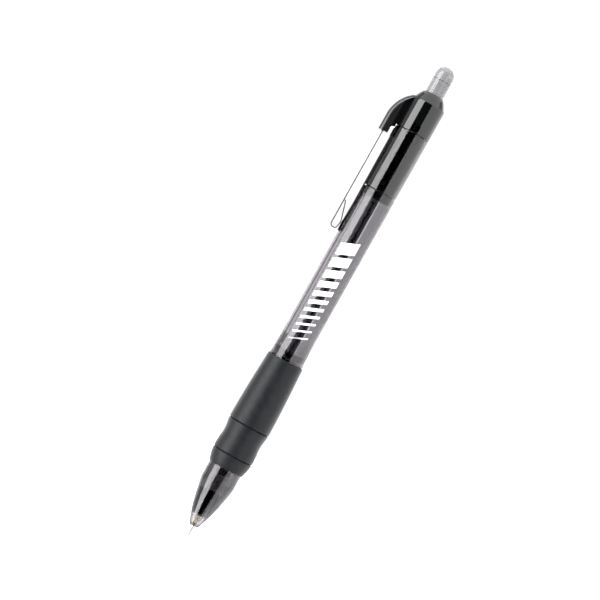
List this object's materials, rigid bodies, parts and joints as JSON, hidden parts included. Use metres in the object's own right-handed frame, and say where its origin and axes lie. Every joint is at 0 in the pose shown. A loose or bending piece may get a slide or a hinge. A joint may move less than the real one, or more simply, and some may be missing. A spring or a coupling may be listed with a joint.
{
  "type": "retractable gel pen",
  "caption": "Retractable gel pen: clear smoke barrel, contoured rubber grip, black cap with a sprung steel clip, domed click button and a needle-point refill.",
  "frame": {"origin": "writing point: the lowest point of the ball with the pen clicked out and latched", "axes": "+Z along the pen's axis from the writing point to the push button; the clip is on the -X side"},
  "size_m": [0.0145, 0.0116, 0.142],
  "materials": {
    "smoke_plastic": "clear smoke-grey moulded plastic, polished",
    "grip_rubber": "soft matte black rubber",
    "cap_plastic": "black moulded plastic, high gloss",
    "clip_steel": "bright spring steel",
    "guide_plastic": "black acetal",
    "button_plastic": "clear light-grey moulded plastic, polished",
    "cam_plastic": "natural acetal",
    "spring_steel": "drawn spring wire",
    "tube_plastic": "translucent polypropylene",
    "ink": "black gel ink",
    "follower_grease": "clear amber grease",
    "holder_plastic": "black moulded plastic",
    "tip_metal": "turned nickel silver",
    "needle_steel": "drawn stainless tube",
    "ball_carbide": "polished tungsten carbide"
  },
  "bodies": {
    "barrel": {"front_section": "smoke_plastic", "barrel": "smoke_plastic", "upper_barrel": "smoke_plastic", "rubber_grip": "grip_rubber", "top_cap": "cap_plastic", "clip_rest": "cap_plastic", "cam_guide": "guide_plastic", "return_spring": "spring_steel"},
    "clip": {"clip": "clip_steel"},
    "button": {"push_button": "button_plastic", "thrust_cam": "cam_plastic"},
    "refill": {"refill_tube": "tube_plastic", "refill_end_plug": "cam_plastic", "gel_ink": "ink", "ink_follower": "follower_grease", "tip_holder": "holder_plastic", "tip_cone": "tip_metal", "needle_pipe": "needle_steel"},
    "rotor": {"rotor_cam": "cam_plastic"},
    "point_ball": {"point_ball": "ball_carbide"}
  },
  "joints": [
    {"name": "button_slide", "type": "slide", "parent": "barrel", "child": "button", "axis": [0, 0, 1], "range_m": [-0.0013, 0.0055]},
    {"name": "refill_slide", "type": "slide", "parent": "barrel", "child": "refill", "axis": [0, 0, 1], "range_m": [-0.0013, 0.0055], "deforming": ["return_spring"]},
    {"name": "rotor_turn", "type": "hinge", "parent": "refill", "child": "rotor", "pos_m": [0, 0, 0.1133], "axis": [0, 0, 1], "range_deg": [-11, 45.5]},
    {"name": "ball_roll", "type": "hinge", "parent": "refill", "child": "point_ball", "pos_m": [0, 0, 0.00025], "axis": [1, 0, 0], "continuous": true},
    {"name": "clip_flex", "type": "hinge", "parent": "barrel", "child": "clip", "pos_m": [-0.0073, 0, 0.1196], "axis": [0, 1, 0], "range_deg": [0, 6], "stiffness_Nm_per_rad": 0.6, "springref_deg": -1.15}
  ],
  "couplings": [
    {"joint": "refill_slide", "follows": "button_slide", "ratio": 1},
    {"joint": "rotor_turn", "follows": "button_slide", "rad_per_m": 142.8}
  ]
}
